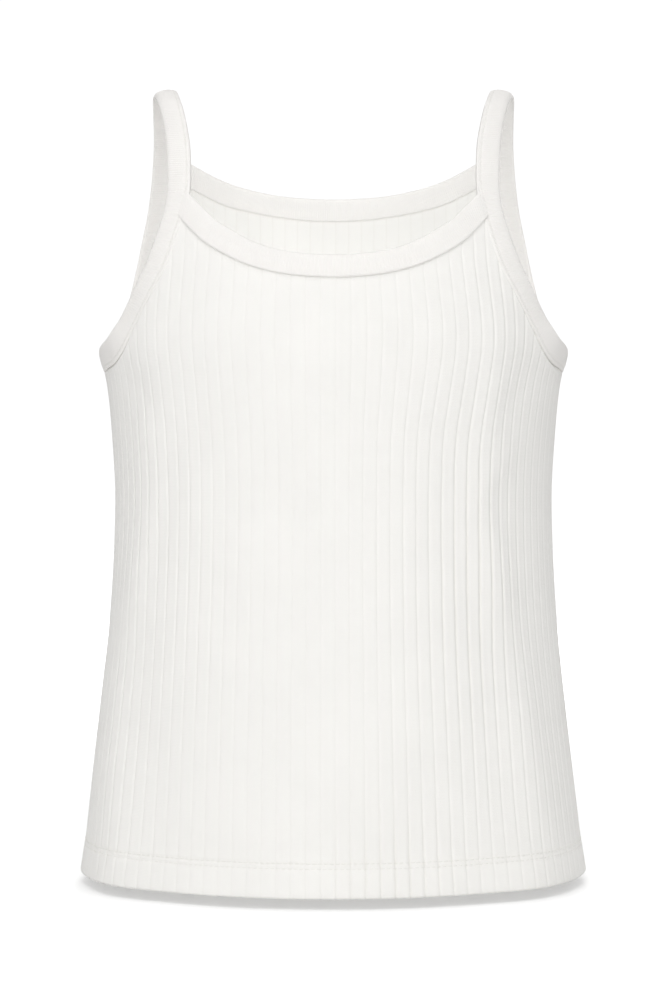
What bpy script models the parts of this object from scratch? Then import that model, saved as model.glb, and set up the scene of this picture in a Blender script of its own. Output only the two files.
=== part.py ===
"""A girl's ribbed tank top, filled out as it is worn, with nobody in it.

Units are metres and +Z is up. The origin is the point midway between the two
straps, level with the undersides where they lie on the shoulders. The front of
the garment faces -Y, and the wearer's left is +X.

The tables are in millimetres. A height is measured from the shoulder point, so
it is negative below it. Every piece lies on one form: the face of the cloth.
"""

import math
from collections import namedtuple

import bmesh
import bpy
from mathutils import Vector

MM = 0.001

# Cloth, in millimetres
WALL = 1.2              # rib knit of the two panels
HEM_WALL = 2.4          # the same knit doubled, where the hem is turned up
HEM_TURN_UP = 16.0
BAND_UNDER = 1.4        # a band's inner face, below the panels' face
BAND_OVER = 0.8         # a band's outer face, above the panels' face
SEAM_GAP = 0.3          # clearance between neighbouring pieces

# The form that fills the garment, in millimetres: its level sections are
# ellipses, deeper in front than behind
CHEST_LINE = -152.5     # above this height the chest and back lean in
SHOULDER_X = 88.3       # middle of a strap on the shoulder
SHOULDER_FALL = 0.25    # how far the shoulder drops for each unit outwards

Level = namedtuple("Level", "height half_width front_depth back_depth")
BODY = [
    Level(-401.7, 129.7, 96.0, 92.0),
    Level(-332.5, 121.9, 92.5, 87.0),
    Level(-272.5, 115.8, 89.5, 82.5),
    Level(-212.5, 113.1, 88.0, 81.5),
    Level(-177.0, 114.8, 88.5, 84.0),
    Level(-150.0, 117.6, 89.0, 86.0),
    Level(-133.0, 121.6, 89.0, 87.0),
    Level(-105.0, 123.8, 88.5, 87.5),
    Level(-40.0, 123.0, 88.0, 87.5),
    Level(30.0, 121.0, 88.0, 87.5),
]

# A band's two long edges, station by station: the seam edge, which meets a
# panel, and the free edge. OVER marks the station on top of the shoulder.
OVER = None
# ON_SIDE marks a station on the side seam, where x is the half width.
ON_SIDE = None
Station = namedtuple("Station", "side seam_x seam_height free_x free_height")
STRAP = [
    Station("front", ON_SIDE, -144.2, ON_SIDE, -132.8),
    Station("front", 115.4, -143.4, 119.3, -131.4),
    Station("front", 110.4, -141.2, 114.3, -128.3),
    Station("front", 105.2, -135.6, 110.8, -124.2),
    Station("front", 99.3, -125.1, 106.6, -118.4),
    Station("front", 90.0, -108.2, 98.6, -103.4),
    Station("front", 82.1, -93.8, 92.3, -90.6),
    Station("front", 74.8, -71.5, 85.2, -70.0),
    Station("front", 71.7, -61.0, 83.2, -59.6),
    Station("front", 71.0, -51.5, 82.8, -51.0),
    Station("front", 71.3, -42.0, 83.3, -41.5),
    Station("front", 72.1, -32.0, 84.1, -31.5),
    Station("front", 74.6, -19.0, 86.5, -18.5),
    Station("front", 78.3, -5.5, 90.6, -5.5),
    Station("over", 82.3, OVER, 94.3, OVER),
    Station("back", 84.0, -5.5, 95.4, -7.5),
    Station("back", 84.6, -19.0, 95.8, -20.0),
    Station("back", 85.5, -29.5, 96.6, -30.5),
    Station("back", 86.9, -41.5, 97.9, -42.5),
    Station("back", 89.4, -55.5, 100.0, -56.5),
    Station("back", 93.1, -70.5, 103.0, -71.0),
    Station("back", 96.4, -84.5, 105.6, -84.0),
    Station("back", 101.4, -105.0, 109.8, -103.0),
    Station("back", 106.8, -122.5, 114.0, -117.0),
    Station("back", 110.6, -132.8, 117.0, -124.8),
    Station("back", 114.2, -140.0, 119.4, -129.9),
    Station("back", ON_SIDE, -144.2, ON_SIDE, -132.8),
]
BAND_WIDTH = 13.2       # a band is no wider than this, however the form turns

# Half of each neck band, from the middle out. The last station lies along the
# strap's inner edge, so its x is worked out from the strap.
ON_STRAP = None
NECK_FRONT = [
    Station("front", 0.0, -103.0, 0.0, -91.7),
    Station("front", 15.7, -102.2, 14.5, -90.9),
    Station("front", 29.2, -100.0, 27.0, -88.8),
    Station("front", 42.8, -95.8, 39.3, -84.5),
    Station("front", 56.6, -88.6, 51.0, -77.6),
    Station("front", 65.2, -82.4, 58.4, -72.4),
    Station("front", ON_STRAP, -71.5, ON_STRAP, -58.5),
]
NECK_BACK = [
    Station("back", 0.0, -56.5, 0.0, -44.9),
    Station("back", 15.0, -56.1, 14.5, -44.6),
    Station("back", 30.0, -54.7, 28.5, -43.7),
    Station("back", 45.0, -52.5, 42.5, -41.6),
    Station("back", 60.0, -49.3, 56.3, -38.3),
    Station("back", 73.0, -43.9, 68.5, -33.5),
    Station("back", ON_STRAP, -37.2, ON_STRAP, -25.5),
]

# A band's section: how far across from the seam edge to the free edge, and how
# far from its inner face to its outer face, both from 0 to 1
BAND_SECTION = [
    (0.00, 0.50), (0.00, 0.80), (0.08, 1.00), (0.92, 1.00),
    (1.00, 0.75), (1.00, 0.25), (0.92, 0.00), (0.16, 0.00),
]

# How finely the pieces are cut
STRAP_STEPS = 56
NECK_STEPS = 12
PANEL_ROWS = 12
CURVE_SAMPLES = 400
ARMHOLE_REACH = 0.40    # share of the strap's length that surely holds a panel's tip

KNIT_COLOUR = (0.90, 0.89, 0.86, 1.0)
BAND_COLOUR = (0.91, 0.90, 0.87, 1.0)
KNIT_ROUGHNESS = 0.9


# ---------------------------------------------------------------- the form

def smooth_through(knots, values, position):
    """Catmull-Rom value at a position among uneven knots, in rising order."""
    last = len(knots) - 1
    position = min(max(position, knots[0]), knots[-1])
    index = 0
    while index < last - 1 and position > knots[index + 1]:
        index += 1
    span = knots[index + 1] - knots[index]
    share = (position - knots[index]) / span

    def slope(at):
        before, after = max(at - 1, 0), min(at + 1, last)
        return (values[after] - values[before]) / (knots[after] - knots[before])

    start, end = values[index], values[index + 1]
    square, cube = share ** 2, share ** 3
    return (
        start * (2 * cube - 3 * square + 1)
        + slope(index) * span * (cube - 2 * square + share)
        + end * (3 * square - 2 * cube)
        + slope(index + 1) * span * (cube - square)
    )


def body_size(column, height):
    """Half width or depth of the form at a height."""
    knots = [level.height for level in BODY]
    return smooth_through(knots, [getattr(level, column) for level in BODY], height)


def shoulder_height(x):
    """Height of the cloth's face where it would cross the shoulder."""
    return BAND_UNDER - SHOULDER_FALL * (abs(x) - SHOULDER_X)


def turn_at(x, height):
    """The turn from the middle, in radians, that puts a level section at x."""
    return math.asin(min(abs(x) / body_size("half_width", height), 1.0))


def lean(x, height):
    """Share of its depth that the form keeps where it leans to the shoulder."""
    rise = (height - CHEST_LINE) / (shoulder_height(x) - CHEST_LINE)
    return math.sqrt(1 - min(max(rise, 0.0), 1.0) ** 2)


def panel_point(side, turn, height):
    """Point on the cloth's face, by turn from the middle and height."""
    x = body_size("half_width", height) * math.sin(turn)
    if side == "front":
        depth = -body_size("front_depth", height)
    else:
        depth = body_size("back_depth", height)
    return Vector((x, depth * math.cos(turn) * lean(x, height), height))


def panel_normal(side, turn, height):
    """Outward normal of the panels' face."""
    step_turn, step_height = 0.005, 0.5
    along = panel_point(side, turn + step_turn, height) - panel_point(side, turn - step_turn, height)
    up = panel_point(side, turn, height + step_height) - panel_point(side, turn, height - step_height)
    normal = along.cross(up).normalized()
    return normal if side == "front" else -normal


# ---------------------------------------------------------------- the bands

def edge_point(side, x, height):
    """Point of a band's edge on the form, or on top of the shoulder."""
    if height is OVER:
        return Vector((x, 0.0, shoulder_height(x)))
    if x is ON_SIDE:
        return Vector((body_size("half_width", height), 0.0, height))
    point = panel_point(side, turn_at(x, height), height)
    point.x = math.copysign(point.x, x)
    return point


class Band:
    """A strip of cloth through stations, with no section wider than the cut."""

    def __init__(self, stations):
        self.seam = [edge_point(s.side, s.seam_x, s.seam_height) for s in stations]
        self.free = [edge_point(s.side, s.free_x, s.free_height) for s in stations]
        for seam, free in zip(self.seam, self.free):
            across = free - seam
            room = BAND_WIDTH ** 2 - across.x ** 2 - across.z ** 2
            reach = math.sqrt(max(room, 0.0))
            free.y = seam.y + min(max(across.y, -reach), reach)
        self.knots = [0.0]
        middles = [(seam + free) / 2 for seam, free in zip(self.seam, self.free)]
        for before, after in zip(middles, middles[1:]):
            self.knots.append(self.knots[-1] + (after - before).length)
        self.length = self.knots[-1]

    def at(self, along, across):
        """Point at a length along the band and a share across it."""
        ends = []
        for edge in (self.seam, self.free):
            ends.append(Vector([
                smooth_through(self.knots, [point[axis] for point in edge], along)
                for axis in range(3)
            ]))
        return ends[0].lerp(ends[1], across)

    def panel_edge(self, along):
        """Point a seam gap away from the band's seam edge."""
        return self.at(along, 0) + (self.at(along, 0) - self.at(along, 1)).normalized() * SEAM_GAP

    def normal(self, along):
        """Outward normal, with the free edge to the left of the way along."""
        step = 0.5
        way = self.at(along + step, 0.5) - self.at(along - step, 0.5)
        across = self.at(along, 1) - self.at(along, 0)
        return across.cross(way).normalized()

    def ring(self, along):
        """The band's section at a length along it, as a ring of points."""
        normal = self.normal(along)
        points = []
        for across, through in BAND_SECTION:
            lift = -BAND_UNDER + (BAND_UNDER + BAND_OVER) * through
            points.append(self.at(along, across) + normal * lift)
        return points


def strap_band():
    band = Band(STRAP)
    for edge in (band.seam, band.free):
        edge[0].y = -SEAM_GAP / 2
        edge[-1].y = SEAM_GAP / 2
    return band


def strap_edge_x(strap, side, height):
    """x of a point a seam gap inside the strap's inner edge, at a height."""
    samples = []
    for step in range(CURVE_SAMPLES + 1):
        point = strap.panel_edge(strap.length * step / CURVE_SAMPLES)
        if (point.y <= 0) == (side == "front"):
            samples.append((abs(point.z - height), point.x))
    return min(samples)[1]


def neck_band(strap, half):
    """The whole neck band, from one strap to the other."""
    last = half[-1]
    seam_x = strap_edge_x(strap, last.side, last.seam_height)
    free_x = strap_edge_x(strap, last.side, last.free_height)
    half = half[:-1] + [last._replace(seam_x=seam_x, free_x=free_x)]
    other = [s._replace(seam_x=-s.seam_x, free_x=-s.free_x) for s in reversed(half[1:])]
    return Band(other + half)


# --------------------------------------------------------------- the panels

def side_seam_turn():
    """The turn at which the face is half a seam gap from the side line."""
    return math.acos(SEAM_GAP / 2 / body_size("front_depth", CHEST_LINE))


def turn_and_height(point):
    turn = min(turn_at(point.x, point.z), side_seam_turn())
    return turn, point.z


def edge_samples(band, start, end):
    """(turn, height) along the panel's side of a band's seam."""
    samples = []
    for step in range(CURVE_SAMPLES + 1):
        point = band.panel_edge(start + (end - start) * step / CURVE_SAMPLES)
        samples.append(turn_and_height(point))
    return samples


def height_at(samples, turn):
    """Height of an edge at a turn, carried on in a straight line past its ends."""
    ordered = sorted(samples)
    index = 0
    while index < len(ordered) - 2 and turn > ordered[index + 1][0]:
        index += 1
    (turn_a, height_a), (turn_b, height_b) = ordered[index], ordered[index + 1]
    return height_a + (height_b - height_a) * (turn - turn_a) / (turn_b - turn_a)


def top_edge(strap, neck, side):
    """Turn and height at the top of each column of half a panel, middle first."""
    steps = range(STRAP_STEPS // 2, -1, -1)
    if side == "back":
        steps = range(STRAP_STEPS // 2, STRAP_STEPS + 1)
    reach = ARMHOLE_REACH * strap.length
    if side == "front":
        armhole = edge_samples(strap, 0.0, reach)
    else:
        armhole = edge_samples(strap, strap.length, strap.length - reach)
    neckline = edge_samples(neck, neck.length / 2, neck.length)
    lowest = max(turn for turn, _ in neckline) - 0.10
    highest = max(turn for turn, _ in neckline) + 0.05
    for _ in range(40):
        tip = (lowest + highest) / 2
        if height_at(neckline, tip) < height_at(armhole, tip):
            lowest = tip
        else:
            highest = tip
    columns = [(0.0, height_at(neckline, 0.0))]
    for step in range(1, NECK_STEPS):
        point = neck.panel_edge(neck.length * (0.5 + 0.5 * step / NECK_STEPS))
        turn, height = turn_and_height(point)
        if turn < tip - 0.01:
            columns.append((turn, height))
    columns.append((tip, height_at(neckline, tip)))
    for step in steps:
        turn, height = turn_and_height(strap.panel_edge(strap.length * step / STRAP_STEPS))
        if turn > tip + 0.01 and height < columns[-1][1]:
            columns.append((turn, height))
    return columns


def panel_column(side, turn, top):
    """A column of the wall: up its outer face and down its inner face."""
    hem = BODY[0].height
    turned = hem + HEM_TURN_UP
    levels = [(hem, HEM_WALL), (turned, HEM_WALL), (turned + 1.5, WALL)]
    start = levels[-1][0]
    for row in range(1, PANEL_ROWS + 1):
        levels.append((start + (top - start) * row / PANEL_ROWS, WALL))
    outer, inner = [], []
    for height, wall in levels:
        point = panel_point(side, turn, height)
        outer.append(point)
        inner.append(point - panel_normal(side, turn, height) * wall)
    return outer + inner[::-1]


# --------------------------------------------------------------- the solids

def cloth_material(name, colour):
    material = bpy.data.materials.new(name)
    material.use_nodes = True
    shader = material.node_tree.nodes["Principled BSDF"]
    shader.inputs["Base Color"].default_value = colour
    shader.inputs["Roughness"].default_value = KNIT_ROUGHNESS
    material.diffuse_color = colour
    return material


def lofted_wall(name, rings, material):
    """A closed wall through rings of equal length, its two ends closed."""
    mesh = bpy.data.meshes.new(name)
    shape = bmesh.new()
    rows = [[shape.verts.new(point * MM) for point in ring] for ring in rings]
    count = len(rings[0])
    for ring, following in zip(rows, rows[1:]):
        for k in range(count):
            after = (k + 1) % count
            shape.faces.new((ring[k], ring[after], following[after], following[k]))
    for end in (rows[0], rows[-1]):
        for k in range(count // 2 - 1):
            shape.faces.new((end[k], end[k + 1], end[count - 2 - k], end[count - 1 - k]))
    bmesh.ops.recalc_face_normals(shape, faces=shape.faces)
    shape.to_mesh(mesh)
    shape.free()
    mesh.shade_smooth()
    mesh.set_sharp_from_angle(angle=math.radians(50))
    mesh.materials.append(material)
    piece = bpy.data.objects.new(name, mesh)
    bpy.context.scene.collection.objects.link(piece)
    return piece


def panel(name, side, strap, neck, material):
    half = top_edge(strap, neck, side)
    columns = [(-turn, top) for turn, top in reversed(half[1:])] + half
    rings = [panel_column(side, turn, top) for turn, top in columns]
    return lofted_wall(name, rings, material)


def band_piece(name, band, steps, mirror, material):
    rings = []
    for step in range(steps + 1):
        ring = band.ring(band.length * step / steps)
        rings.append([Vector((point.x * mirror, point.y, point.z)) for point in ring])
    return lofted_wall(name, rings, material)


def build():
    for old in list(bpy.data.objects):
        bpy.data.objects.remove(old, do_unlink=True)
    knit = cloth_material("rib_knit", KNIT_COLOUR)
    binding = cloth_material("band_knit", BAND_COLOUR)
    strap = strap_band()
    neck_front = neck_band(strap, NECK_FRONT)
    neck_back = neck_band(strap, NECK_BACK)
    panel("front_panel", "front", strap, neck_front, knit)
    panel("back_panel", "back", strap, neck_back, knit)
    band_piece("neck_band_front", neck_front, 2 * NECK_STEPS, 1, binding)
    band_piece("neck_band_back", neck_back, 2 * NECK_STEPS, 1, binding)
    band_piece("strap_left", strap, STRAP_STEPS, 1, binding)
    band_piece("strap_right", strap, STRAP_STEPS, -1, binding)


build()
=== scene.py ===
"""The looks of a girl's ribbed tank top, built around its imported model.

The cloth is drawn in millimetres, on the same form as the model's panels and
bands, and turned into metres where a mesh is made. Heights are measured from
the shoulder point, the front faces -Y, and the wearer's left is +X.
"""

import math
from collections import namedtuple

import bpy
import numpy as np
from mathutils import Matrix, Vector


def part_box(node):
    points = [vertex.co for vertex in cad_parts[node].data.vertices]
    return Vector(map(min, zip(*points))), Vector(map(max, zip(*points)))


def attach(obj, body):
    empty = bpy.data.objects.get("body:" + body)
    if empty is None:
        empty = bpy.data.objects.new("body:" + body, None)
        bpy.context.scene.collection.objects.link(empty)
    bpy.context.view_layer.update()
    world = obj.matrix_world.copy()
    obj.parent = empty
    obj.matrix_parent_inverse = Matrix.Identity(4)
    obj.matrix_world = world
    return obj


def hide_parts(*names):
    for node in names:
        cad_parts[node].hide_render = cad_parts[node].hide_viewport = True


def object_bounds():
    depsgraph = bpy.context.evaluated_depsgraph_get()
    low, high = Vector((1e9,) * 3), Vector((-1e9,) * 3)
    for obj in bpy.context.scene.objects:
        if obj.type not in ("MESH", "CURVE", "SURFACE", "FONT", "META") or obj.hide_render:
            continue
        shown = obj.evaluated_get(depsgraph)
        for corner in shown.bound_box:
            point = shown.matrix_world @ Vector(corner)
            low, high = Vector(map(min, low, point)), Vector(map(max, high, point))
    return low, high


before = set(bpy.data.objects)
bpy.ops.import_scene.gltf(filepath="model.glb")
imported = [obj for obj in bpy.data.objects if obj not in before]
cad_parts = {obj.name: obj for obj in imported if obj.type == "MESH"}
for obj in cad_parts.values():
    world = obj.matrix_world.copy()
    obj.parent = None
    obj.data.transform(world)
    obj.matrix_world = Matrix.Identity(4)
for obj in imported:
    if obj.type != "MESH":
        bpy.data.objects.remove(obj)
cad_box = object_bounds()

MM = 0.001

# ------------------------------------------------------------------- sizes

FRONT_BOX = [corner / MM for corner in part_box("front_panel")]
BACK_BOX = [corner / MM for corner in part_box("back_panel")]
HEM = FRONT_BOX[0].z
HEM_HALF_WIDTH = (FRONT_BOX[1].x - FRONT_BOX[0].x) / 2

# The form that fills the garment
CHEST_LINE = -152.5     # above this height the chest and back lean in
SHOULDER_X = 88.3       # middle of a strap on the shoulder
SHOULDER_FALL = 0.25    # how far the shoulder drops for each unit outwards
BAND_UNDER = 1.4        # a band's inner face, below the cloth's face
BAND_WIDTH = 13.2       # a band is no wider than this, however the form turns
BAND_CUT = 12.0         # the width that the band's outline is drawn at
NECK_END_WIDTH = 17.0   # a neck band's ends are cut aslant, along the strap

Level = namedtuple("Level", "height half_width front_depth back_depth")
BODY = [
    Level(HEM, HEM_HALF_WIDTH, -FRONT_BOX[0].y, BACK_BOX[1].y),
    Level(-332.5, 121.9, 92.5, 87.0),
    Level(-272.5, 115.8, 89.5, 82.5),
    Level(-212.5, 113.1, 88.0, 81.5),
    Level(-177.0, 114.8, 88.5, 84.0),
    Level(-150.0, 117.6, 89.0, 86.0),
    Level(-133.0, 121.6, 89.0, 87.0),
    Level(-105.0, 123.8, 88.5, 87.5),
    Level(-40.0, 123.0, 88.0, 87.5),
    Level(30.0, 121.0, 88.0, 87.5),
]

# The bands' long edges, station by station: the edge sewn to a panel and the
# free edge. OVER is on top of the shoulder, ON_SIDE on the side seam.
OVER = None
ON_SIDE = None
Station = namedtuple("Station", "side seam_x seam_height free_x free_height")
STRAP = [
    Station("front", ON_SIDE, -144.2, ON_SIDE, -132.8),
    Station("front", 115.4, -143.4, 119.3, -131.4),
    Station("front", 110.4, -141.2, 114.3, -128.3),
    Station("front", 105.2, -135.6, 110.8, -124.2),
    Station("front", 99.3, -125.1, 106.6, -118.4),
    Station("front", 90.0, -108.2, 98.6, -103.4),
    Station("front", 82.1, -93.8, 92.3, -90.6),
    Station("front", 74.8, -71.5, 85.2, -70.0),
    Station("front", 71.7, -61.0, 83.2, -59.6),
    Station("front", 71.0, -51.5, 82.8, -51.0),
    Station("front", 71.3, -42.0, 83.3, -41.5),
    Station("front", 72.1, -32.0, 84.1, -31.5),
    Station("front", 74.6, -19.0, 86.5, -18.5),
    Station("front", 78.3, -5.5, 90.6, -5.5),
    Station("over", 82.3, OVER, 94.3, OVER),
    Station("back", 84.0, -5.5, 95.4, -7.5),
    Station("back", 84.6, -19.0, 95.8, -20.0),
    Station("back", 85.5, -29.5, 96.6, -30.5),
    Station("back", 86.9, -41.5, 97.9, -42.5),
    Station("back", 89.4, -55.5, 100.0, -56.5),
    Station("back", 93.1, -70.5, 103.0, -71.0),
    Station("back", 96.4, -84.5, 105.6, -84.0),
    Station("back", 101.4, -105.0, 109.8, -103.0),
    Station("back", 106.8, -122.5, 114.0, -117.0),
    Station("back", 110.6, -132.8, 117.0, -124.8),
    Station("back", 114.2, -140.0, 119.4, -129.9),
    Station("back", ON_SIDE, -144.2, ON_SIDE, -132.8),
]
# Half of each neck band, from the middle out to just under the strap
NECK_FRONT = [
    Station("front", 0.0, -103.0, 0.0, -91.7),
    Station("front", 15.7, -102.2, 14.5, -90.9),
    Station("front", 29.2, -100.0, 27.0, -88.8),
    Station("front", 42.8, -95.8, 39.3, -84.5),
    Station("front", 56.6, -88.6, 51.0, -77.6),
    Station("front", 65.2, -82.4, 58.4, -72.4),
    Station("front", 76.3, -70.5, 73.0, -57.0),
]
NECK_BACK = [
    Station("back", 0.0, -56.5, 0.0, -44.9),
    Station("back", 15.0, -56.1, 14.5, -44.6),
    Station("back", 30.0, -54.7, 28.5, -43.7),
    Station("back", 45.0, -52.5, 42.5, -41.6),
    Station("back", 60.0, -49.3, 56.3, -38.3),
    Station("back", 73.0, -43.9, 68.5, -33.5),
    Station("back", 87.8, -36.6, 86.8, -24.3),
]

# Rib knit of the panels
RIBS_TO_SIDE = 24       # ribs from the middle to a side seam, at every height
RIB_PITCH = 7.2         # at the middle; towards the sides they give and take
RIB_SHIFT = 0.15        # the pattern's place across, in ribs
# Across half a rib from its groove: place in ribs, height, how deep in the groove, which also sets the
# painted shade in it
RIB_PROFILE = [
    (0.0, -0.34, 0.5),
    (0.055, -0.14, 0.15),
    (0.12, 0.10, 0.0),
    (0.28, 0.04, 0.0),
    (0.50, 0.06, 0.0),
]
RIB_UNDERSIDE = 0.45    # depth of the same groove on the inside
SIDE_EDGE_PLACES = (0.03, 0.07, 0.12, 0.2)  # in ribs, beside a side seam
SIDE_DIP = 0.45         # how far a side seam draws the cloth in
SIDE_DIP_REACH = 0.8
SIDE_SHADE = 0.4        # how much painted shade darkens the side seam's line
SIDE_SHADE_REACH = 0.6
UNDERARM_SHADE = 0.8    # and painted shadow on the line under a strap's binding
INSIDE_PAINTED_SHADE = 0.25     # painted shade over the whole inside of the garment
# Painted shade in the inside's grooves, and along the seams beside the bands
INSIDE_GROOVE_SHADE = 2.0
INSIDE_SEAM_SHADE = 1.3
WALL = 1.15
LEVEL_STEP = 1.5
TOP_LEVEL = -18.0       # above every panel's top edge
PANEL_ROWS = 84

# Hem, in millimetres above its fold
HEM_WALL = 2.4
HEM_RAW_EDGE = 18.6     # where the turn-up ends on the inside
HEM_SWELL = 0.35        # how far the doubled cloth stands out
HEM_SWELL_FADE = 6.0
HEM_FLARE = 0.6         # and the fold flares out by this much more
HEM_STITCH_ROWS = (14.4, 16.9)
HEM_FURROW = 0.28       # how far the stitching pulls the cloth in
HEM_FURROW_INSIDE = 0.12
HEM_FURROW_REACH = 0.55
HEM_STITCH_LIFT = 0.16  # from the furrow to the middle of the thread
HEM_ROWS = [
    0.0, 0.25, 0.6, 1.1, 2.5, 5.0, 8.5, 11.5,
    13.7, 14.4, 15.1, 16.2, 16.9, 17.6, 18.4, 19.0,
]

# Top edge of a panel, in millimetres below it
TOP_ROWS = [4.0, 2.6, 1.7, 1.0, 0.4, 0.0]
TUCK = 0.9              # how far a panel runs on under a band
TOP_SWELL = 0.22        # how far the seam puffs the cloth up beside a band
TOP_SWELL_REACH = 1.3
BESIDE_BAND_REACH = 0.6
SEAM_UNDERSIDE = 0.35   # how far the seam pulls the inside out towards the band
UNDERARM_DRAW = 1.2     # but at the underarm the seam draws the cloth in
UNDERARM_DRAW_FROM = 78.0
UNDERARM_DRAW_REACH = 14.0

# Bands: outline across a band of BAND_CUT, from the seam edge round
BAND_OUTLINE = [
    (0.00, -1.00), (0.00, -0.20), (0.05, 0.20), (0.22, 0.38), (0.65, 0.47),
    (1.30, 0.50), (1.65, 0.42), (1.90, 0.39), (2.15, 0.45), (2.60, 0.60),
    (3.50, 0.77), (5.00, 0.85), (7.00, 0.88), (9.00, 0.84), (10.40, 0.72),
    (11.30, 0.44), (11.80, 0.05), (12.00, -0.35), (11.80, -0.80), (11.20, -1.20),
    (10.20, -1.38), (7.00, -1.40), (4.00, -1.40), (1.00, -1.40), (0.20, -1.30),
]
BAND_TOPSTITCH = 1.9    # from the seam edge
TOPSTITCH_LIFT = 0.48   # from the cloth's face to the middle of the thread
STRAP_ROLL = 1.5        # how far a strap's edges roll down on top of the shoulder
STRAP_ROLL_REACH = 30.0
BAND_RIB_PITCH = 1.25
BAND_RIB_HEIGHT = 0.08
SAMPLES_PER_BAND_RIB = 4
BAND_PUCKER = 0.07      # waves of the cloth beside the topstitch
BAND_END_DIP = 0.35     # how far a sewn-down end sinks

# Stitches
STITCH_LENGTH = 2.3
STITCH_PITCH = 2.8
THREAD_RADIUS = 0.17


# ---------------------------------------------------------------- the form

def smooth_through(knots, values, position):
    """Catmull-Rom values at positions among uneven knots, in rising order."""
    knots, values = np.asarray(knots, float), np.asarray(values, float)
    last = len(knots) - 1
    before = np.maximum(np.arange(last + 1) - 1, 0)
    after = np.minimum(np.arange(last + 1) + 1, last)
    runs = knots[after] - knots[before]
    slopes = ((values[after] - values[before]).T / runs).T
    position = np.clip(position, knots[0], knots[-1])
    index = np.clip(np.searchsorted(knots, position) - 1, 0, last - 1)
    span = knots[index + 1] - knots[index]
    share = (position - knots[index]) / span
    if values.ndim > 1:
        span, share = span[..., None], share[..., None]
    square, cube = share ** 2, share ** 3
    return (
        values[index] * (2 * cube - 3 * square + 1)
        + slopes[index] * span * (cube - 2 * square + share)
        + values[index + 1] * (3 * square - 2 * cube)
        + slopes[index + 1] * span * (cube - square)
    )


def body_size(column, height):
    """Half width or depth of the form at heights, by the name of BODY's column."""
    knots = [level.height for level in BODY]
    return smooth_through(knots, [getattr(level, column) for level in BODY], height)


def shoulder_height(x):
    return BAND_UNDER - SHOULDER_FALL * (np.abs(x) - SHOULDER_X)


def lean(x, height):
    """Share of its depth that the form keeps where it leans to the shoulder."""
    rise = (height - CHEST_LINE) / (shoulder_height(x) - CHEST_LINE)
    return np.sqrt(1 - np.clip(rise, 0, 1) ** 2)


def turn_at(x, height):
    """The turn from the middle, in radians, that puts a level section at x."""
    return np.arcsin(np.clip(np.abs(x) / body_size("half_width", height), 0, 1))


def face_point(side, turn, height):
    """Points on the cloth's face, by turn from the middle and height."""
    turn, height = np.broadcast_arrays(turn, height)
    x = body_size("half_width", height) * np.sin(turn)
    if side == "front":
        depth = -body_size("front_depth", height)
    else:
        depth = body_size("back_depth", height)
    return np.stack([x, depth * np.cos(turn) * lean(x, height), height], axis=-1)


def unit(vectors):
    return vectors / np.linalg.norm(vectors, axis=-1, keepdims=True)


def face_normal(side, turn, height):
    step_turn, step_height = 0.004, 0.4
    along = face_point(side, turn + step_turn, height) - face_point(side, turn - step_turn, height)
    up = face_point(side, turn, height + step_height) - face_point(side, turn, height - step_height)
    normal = unit(np.cross(along, up))
    return normal if side == "front" else -normal


# --------------------------------------------------------------- the bands

def edge_point(side, x, height):
    """Point of a band's edge on the form, or on top of the shoulder."""
    if height is OVER:
        return np.array([x, 0.0, shoulder_height(x)])
    if x is ON_SIDE:
        return np.array([float(body_size("half_width", height)), 0.0, height])
    point = face_point(side, turn_at(x, height), height)
    point[0] = math.copysign(point[0], x)
    return point


class Band:
    """A strip of cloth through stations, with no section wider than the cut."""

    def __init__(self, stations, end_width=BAND_WIDTH):
        seam = np.array([edge_point(s.side, s.seam_x, s.seam_height) for s in stations])
        free = np.array([edge_point(s.side, s.free_x, s.free_height) for s in stations])
        across = free - seam
        widest = np.full(len(stations), BAND_WIDTH)
        widest[[0, -1]] = end_width
        room = widest ** 2 - across[:, 0] ** 2 - across[:, 2] ** 2
        reach = np.sqrt(np.maximum(room, 0.0))
        free[:, 1] = seam[:, 1] + np.clip(across[:, 1], -reach, reach)
        self.seam, self.free = seam, free
        steps = np.linalg.norm(np.diff((seam + free) / 2, axis=0), axis=1)
        self.knots = np.concatenate([[0.0], np.cumsum(steps)])
        self.length = self.knots[-1]

    def at(self, along, across):
        """Points at lengths along the band and shares across it."""
        along, across = np.broadcast_arrays(along, across)
        seam = smooth_through(self.knots, self.seam, along)
        free = smooth_through(self.knots, self.free, along)
        return seam + (free - seam) * across[..., None]

    def across_way(self, along):
        return unit(self.at(along, 1.0) - self.at(along, 0.0))

    def way(self, along):
        step = 0.4
        return unit(self.at(along + step, 0.5) - self.at(along - step, 0.5))

    def normal(self, along):
        return unit(np.cross(self.across_way(along), self.way(along)))


def whole_neck(half):
    """The stations of a neck band from one strap to the other."""
    other = [s._replace(seam_x=-s.seam_x, free_x=-s.free_x) for s in reversed(half[1:])]
    return Band(other + half, NECK_END_WIDTH)


strap = Band(STRAP)
STRAP_TOP = strap.knots[[s.side for s in STRAP].index("over")] / strap.length
neck_front = whole_neck(NECK_FRONT)
neck_back = whole_neck(NECK_BACK)


# ------------------------------------------------------------- mesh making

def clear_selection():
    for item in bpy.context.selected_objects:
        item.select_set(False)


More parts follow.
